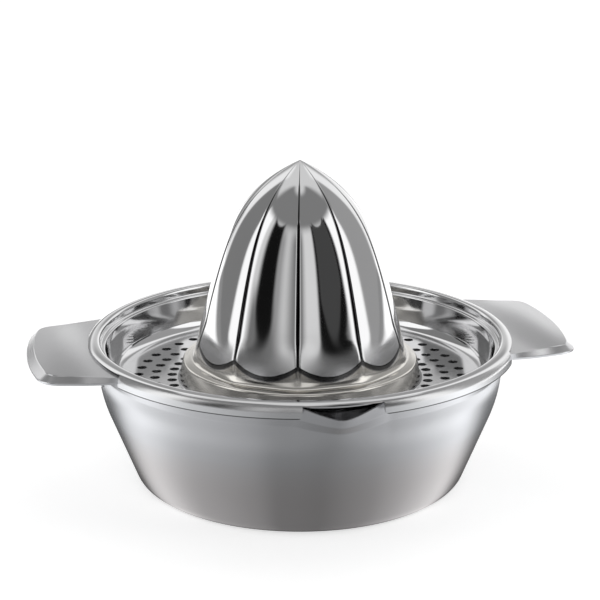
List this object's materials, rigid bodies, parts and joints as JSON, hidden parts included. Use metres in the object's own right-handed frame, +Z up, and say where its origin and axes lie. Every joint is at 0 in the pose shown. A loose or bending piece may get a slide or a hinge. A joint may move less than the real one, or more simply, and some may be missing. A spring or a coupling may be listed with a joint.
{
  "type": "citrus squeezer",
  "caption": "Stainless-steel hand citrus squeezer: juice bowl with pour spout and side handles, and a lift-out perforated strainer with a fluted reamer.",
  "frame": {"origin": "on the axis of the bowl, at the flat underside of its base", "axes": "+Z up along the axis of the bowl and the reamer, X along the two handles, -Y towards the pour spout"},
  "size_m": [0.1804, 0.1414, 0.1079],
  "materials": {
    "satin_steel": "satin",
    "polished_steel": "mirror polished"
  },
  "bodies": {
    "bowl_body": {"bowl": "satin_steel", "left_handle": "satin_steel", "right_handle": "satin_steel"},
    "insert": {"strainer": "polished_steel", "reamer": "polished_steel"}
  },
  "joints": [
    {"name": "insert_lift", "type": "slide", "parent": "bowl_body", "child": "insert", "axis": [0, 0, 1], "range_m": [0, 0.04]}
  ]
}
